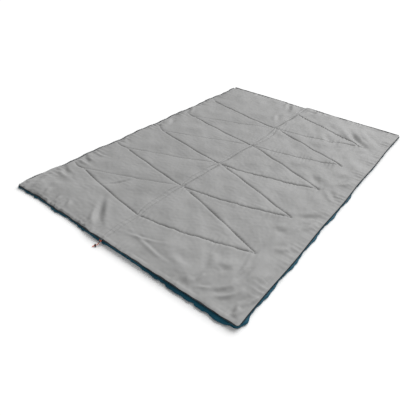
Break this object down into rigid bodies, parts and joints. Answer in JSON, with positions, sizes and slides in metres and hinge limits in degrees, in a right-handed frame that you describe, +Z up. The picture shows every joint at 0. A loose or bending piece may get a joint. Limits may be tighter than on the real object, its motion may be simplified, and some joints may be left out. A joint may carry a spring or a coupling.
{
  "type": "rectangular sleeping bag",
  "caption": "Quilted rectangular sleeping bag unzipped and laid open flat, lining up: two padded halves that fold together, an edge zip, a slider and a corded puller.",
  "frame": {"origin": "on the ground under the middle of the open bag, with the fold line above it", "axes": "+X to the right half, +Y from the foot edge to the head edge, +Z up"},
  "size_m": [1.5, 2.2429, 0.0244],
  "materials": {
    "shell_cloth": "satin",
    "batting": "matte",
    "lining_cloth": "matte",
    "thread": "matte",
    "zip_tape": "matte",
    "zip_coil": "satin",
    "hem_cloth": "matte",
    "slider_paint": "satin",
    "pull_cord": "matte",
    "pull_plastic": "matte"
  },
  "bodies": {
    "right_half": {"right_outer_shell": "shell_cloth", "right_insulation": "batting", "right_lining": "lining_cloth", "right_quilting_thread": "thread", "right_fold_stitching": "thread", "right_zip_tape": "zip_tape", "right_zip_coil": "zip_coil", "right_zip_top_stop": "zip_coil", "right_head_hem": "hem_cloth", "zip_bottom_stop": "zip_coil"},
    "left_half": {"left_outer_shell": "shell_cloth", "left_insulation": "batting", "left_lining": "lining_cloth", "left_quilting_thread": "thread", "left_fold_stitching": "thread", "left_zip_tape": "zip_tape", "left_zip_coil": "zip_coil", "left_zip_top_stop": "zip_coil", "left_head_hem": "hem_cloth"},
    "zip_slider": {"slider_body": "slider_paint"},
    "puller": {"pull_tab": "pull_plastic", "pull_cord": "pull_cord", "pull_grip": "pull_plastic"}
  },
  "joints": [
    {"name": "fold", "type": "hinge", "parent": "right_half", "child": "left_half", "pos_m": [0, 0, 0.031], "axis": [0, 1, 0], "range_deg": [0, 180]},
    {"name": "slider_run", "type": "slide", "parent": "right_half", "child": "zip_slider", "axis": [1, 0, 0], "range_m": [0, 0.69]},
    {"name": "tab_swing", "type": "hinge", "parent": "zip_slider", "child": "puller", "pos_m": [0, -1.1056, 0.022], "axis": [-1, 0, 0], "range_deg": [0, 110]}
  ]
}
